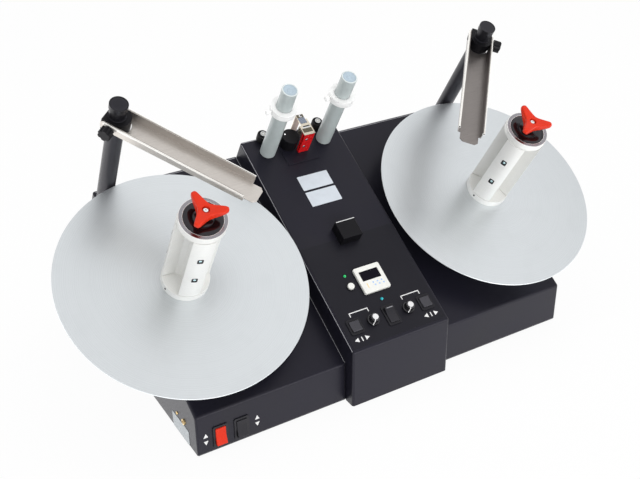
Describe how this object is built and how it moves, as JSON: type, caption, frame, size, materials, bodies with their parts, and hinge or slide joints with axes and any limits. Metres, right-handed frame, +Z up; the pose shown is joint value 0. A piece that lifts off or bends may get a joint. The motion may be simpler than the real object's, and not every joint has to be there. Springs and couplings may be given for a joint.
{
  "type": "label counting rewinder",
  "caption": "Bench console with sloping deck, two flanged motor reels with expanding core chucks, guide rollers, slotted label sensor and hold-over arms.",
  "frame": {"origin": "centre of the middle front foot's underside, on the floor plane, midway between the ends", "axes": "+X right along the machine, +Y to the rear, +Z up"},
  "size_m": [0.9966, 0.5733, 0.5053],
  "materials": {
    "black_plastic": "fine texture",
    "black_powder_coat": "matt powder coat",
    "brass": "turned",
    "brushed_stainless": "brushed",
    "circuit_board": "solder mask",
    "display_glass": "clear cover",
    "gloss_black_plastic": "gloss",
    "grey_roller": "matt",
    "ivory_plastic": "translucent",
    "led_lens": "clear lens",
    "machined_aluminium": "turned",
    "motor_paint": "satin",
    "nickel_plate": "nickel plated",
    "overlay_film": "printed film",
    "red_enamel": "gloss enamel",
    "red_plastic": "satin gloss",
    "rubber": "matt",
    "satin_aluminium": "satin",
    "white_plastic": "satin",
    "zinc_steel": "zinc plated"
  },
  "bodies": {
    "console": {"base_pan": "black_powder_coat", "rubber_feet": "rubber", "left_wing_cover": "black_powder_coat", "right_wing_cover": "black_powder_coat", "center_housing": "black_powder_coat", "power_jack": "brass", "control_overlay": "overlay_film", "counter_case": "white_plastic", "counter_display": "display_glass", "status_leds": "led_lens", "control_board": "circuit_board", "switch_bodies": "black_plastic", "deck_bearings": "zinc_steel", "reel_motors": "motor_paint", "index_block": "black_plastic", "sensor_plate": "black_powder_coat", "fork_sensor": "red_enamel", "sensor_bracket": "nickel_plate", "sensor_pedestal": "gloss_black_plastic", "guide_shafts": "zinc_steel", "post_caps": "black_plastic", "arm_posts": "black_powder_coat"},
    "left_reel": {"left_flange": "satin_aluminium", "left_chuck_body": "machined_aluminium", "left_chuck_cap": "gloss_black_plastic"},
    "left_lock_knob": {"left_chuck_knob": "red_plastic"},
    "left_jaw_1_body": {"left_jaw_1": "machined_aluminium"},
    "left_jaw_2_body": {"left_jaw_2": "machined_aluminium"},
    "left_jaw_3_body": {"left_jaw_3": "machined_aluminium"},
    "left_guide": {"left_guide_roller": "grey_roller"},
    "left_collar": {"left_guide_collar": "ivory_plastic"},
    "left_collar_lock": {"left_collar_screw": "ivory_plastic"},
    "left_short_roller": {"left_rear_roller": "rubber"},
    "left_swivel": {"left_arm_block": "black_plastic"},
    "left_swing_arm": {"left_arm": "brushed_stainless"},
    "left_clamp": {"left_clamp_knob": "black_plastic"},
    "left_speed": {"left_speed_knob": "black_plastic"},
    "left_direction": {"left_direction_rocker": "black_plastic"},
    "right_reel": {"right_flange": "satin_aluminium", "right_chuck_body": "machined_aluminium", "right_chuck_cap": "gloss_black_plastic"},
    "right_lock_knob": {"right_chuck_knob": "red_plastic"},
    "right_jaw_1_body": {"right_jaw_1": "machined_aluminium"},
    "right_jaw_2_body": {"right_jaw_2": "machined_aluminium"},
    "right_jaw_3_body": {"right_jaw_3": "machined_aluminium"},
    "right_guide": {"right_guide_roller": "grey_roller"},
    "right_collar": {"right_guide_collar": "ivory_plastic"},
    "right_collar_lock": {"right_collar_screw": "ivory_plastic"},
    "right_short_roller": {"right_rear_roller": "rubber"},
    "right_swivel": {"right_arm_block": "black_plastic"},
    "right_swing_arm": {"right_arm": "brushed_stainless"},
    "right_clamp": {"right_clamp_knob": "black_plastic"},
    "right_speed": {"right_speed_knob": "black_plastic"},
    "right_direction": {"right_direction_rocker": "black_plastic"},
    "sync": {"sync_rocker": "black_plastic"},
    "power": {"power_rocker": "red_plastic"},
    "sensor_switch": {"sensor_rocker": "black_plastic"},
    "reset": {"reset_button": "white_plastic"}
  },
  "joints": [
    {"name": "left_reel_spin", "type": "hinge", "parent": "console", "child": "left_reel", "pos_m": [-0.2983, 0.14577, 0.22497], "axis": [0, -0.5225, 0.8526], "continuous": true},
    {"name": "left_lock_turn", "type": "hinge", "parent": "left_reel", "child": "left_lock_knob", "pos_m": [-0.2983, 0.05381, 0.37503], "axis": [0, -0.5225, 0.8526], "range_deg": [0, 60]},
    {"name": "left_jaw_1_slide", "type": "slide", "parent": "left_reel", "child": "left_jaw_1_body", "axis": [-0.7071, 0.6029, 0.3695], "range_m": [0, 0.0012]},
    {"name": "left_jaw_2_slide", "type": "slide", "parent": "left_reel", "child": "left_jaw_2_body", "axis": [-0.2588, -0.8236, -0.5047], "range_m": [0, 0.0012]},
    {"name": "left_jaw_3_slide", "type": "slide", "parent": "left_reel", "child": "left_jaw_3_body", "axis": [0.9659, 0.2207, 0.1352], "range_m": [0, 0.0012]},
    {"name": "left_guide_spin", "type": "hinge", "parent": "console", "child": "left_guide", "pos_m": [-0.0565, 0.27233, 0.39049], "axis": [0, -0.5225, 0.8526], "continuous": true},
    {"name": "left_collar_height", "type": "slide", "parent": "left_guide", "child": "left_collar", "axis": [0, -0.5225, 0.8526], "range_m": [-0.08, 0.04]},
    {"name": "left_collar_lock_turn", "type": "hinge", "parent": "left_collar", "child": "left_collar_lock", "pos_m": [-0.0835, 0.25457, 0.41948], "axis": [1, 0, 0], "range_deg": [-90, 270]},
    {"name": "left_short_roller_spin", "type": "hinge", "parent": "console", "child": "left_short_roller", "pos_m": [-0.0552, 0.33713, 0.3393], "axis": [0, -0.5225, 0.8526], "continuous": true},
    {"name": "left_arm_swivel", "type": "hinge", "parent": "console", "child": "left_swivel", "pos_m": [-0.3435, 0.2465, 0.46614], "axis": [0, -0.5225, 0.8526], "range_deg": [-8, 140]},
    {"name": "left_arm_tilt", "type": "hinge", "parent": "left_swivel", "child": "left_swing_arm", "pos_m": [-0.3435, 0.2465, 0.46614], "axis": [-0.7771, -0.5366, -0.3288], "range_deg": [0, 50]},
    {"name": "left_clamp_turn", "type": "hinge", "parent": "left_swivel", "child": "left_clamp", "pos_m": [-0.36681, 0.2304, 0.45627], "axis": [0.7771, 0.5366, 0.3288], "range_deg": [-90, 270]},
    {"name": "left_speed_turn", "type": "hinge", "parent": "console", "child": "left_speed", "pos_m": [-0.0345, 0.01042, 0.13616], "axis": [0, -0.5225, 0.8526], "range_deg": [-140, 140]},
    {"name": "left_direction_rock", "type": "hinge", "parent": "console", "child": "left_direction", "pos_m": [-0.0688, 0.01295, 0.13127], "axis": [1, 0, 0], "range_deg": [-8, 8]},
    {"name": "right_reel_spin", "type": "hinge", "parent": "console", "child": "right_reel", "pos_m": [0.2983, 0.14577, 0.22497], "axis": [0, -0.5225, 0.8526], "continuous": true},
    {"name": "right_lock_turn", "type": "hinge", "parent": "right_reel", "child": "right_lock_knob", "pos_m": [0.2983, 0.05381, 0.37503], "axis": [0, -0.5225, 0.8526], "range_deg": [0, 60]},
    {"name": "right_jaw_1_slide", "type": "slide", "parent": "right_reel", "child": "right_jaw_1_body", "axis": [0, 0.8526, 0.5225], "range_m": [0, 0.0012]},
    {"name": "right_jaw_2_slide", "type": "slide", "parent": "right_reel", "child": "right_jaw_2_body", "axis": [-0.866, -0.4263, -0.2612], "range_m": [0, 0.0012]},
    {"name": "right_jaw_3_slide", "type": "slide", "parent": "right_reel", "child": "right_jaw_3_body", "axis": [0.866, -0.4263, -0.2612], "range_m": [0, 0.0012]},
    {"name": "right_guide_spin", "type": "hinge", "parent": "console", "child": "right_guide", "pos_m": [0.0565, 0.27233, 0.39049], "axis": [0, -0.5225, 0.8526], "continuous": true},
    {"name": "right_collar_height", "type": "slide", "parent": "right_guide", "child": "right_collar", "axis": [0, -0.5225, 0.8526], "range_m": [-0.08, 0.04]},
    {"name": "right_collar_lock_turn", "type": "hinge", "parent": "right_collar", "child": "right_collar_lock", "pos_m": [0.0295, 0.25457, 0.41948], "axis": [1, 0, 0], "range_deg": [-90, 270]},
    {"name": "right_short_roller_spin", "type": "hinge", "parent": "console", "child": "right_short_roller", "pos_m": [0.0552, 0.33713, 0.3393], "axis": [0, -0.5225, 0.8526], "continuous": true},
    {"name": "right_arm_swivel", "type": "hinge", "parent": "console", "child": "right_swivel", "pos_m": [0.3435, 0.2465, 0.46614], "axis": [0, -0.5225, 0.8526], "range_deg": [-140, 6]},
    {"name": "right_arm_tilt", "type": "hinge", "parent": "right_swivel", "child": "right_swing_arm", "pos_m": [0.3435, 0.2465, 0.46614], "axis": [-0.7986, 0.5131, 0.3144], "range_deg": [0, 50]},
    {"name": "right_clamp_turn", "type": "hinge", "parent": "right_swivel", "child": "right_clamp", "pos_m": [0.36746, 0.23111, 0.45671], "axis": [0.7986, -0.5131, -0.3144], "range_deg": [-90, 270]},
    {"name": "right_speed_turn", "type": "hinge", "parent": "console", "child": "right_speed", "pos_m": [0.0345, 0.01042, 0.13616], "axis": [0, -0.5225, 0.8526], "range_deg": [-140, 140]},
    {"name": "right_direction_rock", "type": "hinge", "parent": "console", "child": "right_direction", "pos_m": [0.0688, 0.01295, 0.13127], "axis": [1, 0, 0], "range_deg": [-8, 8]},
    {"name": "sync_rock", "type": "hinge", "parent": "console", "child": "sync", "pos_m": [0, 0.01219, 0.13079], "axis": [1, 0, 0], "range_deg": [-16, 0]},
    {"name": "power_rock", "type": "hinge", "parent": "console", "child": "power", "pos_m": [-0.3205, 0, 0.0305], "axis": [1, 0, 0], "range_deg": [0, 16]},
    {"name": "sensor_rock", "type": "hinge", "parent": "console", "child": "sensor_switch", "pos_m": [-0.2845, 0, 0.0305], "axis": [1, 0, 0], "range_deg": [0, 16]},
    {"name": "reset_press", "type": "slide", "parent": "console", "child": "reset", "axis": [0, 0.5225, -0.8526], "range_m": [0, 0.0015], "stiffness_N_per_m": 300, "springref_m": -0.0005}
  ],
  "couplings": [
    {"joint": "left_jaw_2_slide", "follows": "left_jaw_1_slide", "ratio": 1},
    {"joint": "left_jaw_3_slide", "follows": "left_jaw_1_slide", "ratio": 1},
    {"joint": "left_lock_turn", "follows": "left_jaw_1_slide", "rad_per_m": 871.79},
    {"joint": "right_jaw_2_slide", "follows": "right_jaw_1_slide", "ratio": 1},
    {"joint": "right_jaw_3_slide", "follows": "right_jaw_1_slide", "ratio": 1},
    {"joint": "right_lock_turn", "follows": "right_jaw_1_slide", "rad_per_m": 871.79}
  ]
}
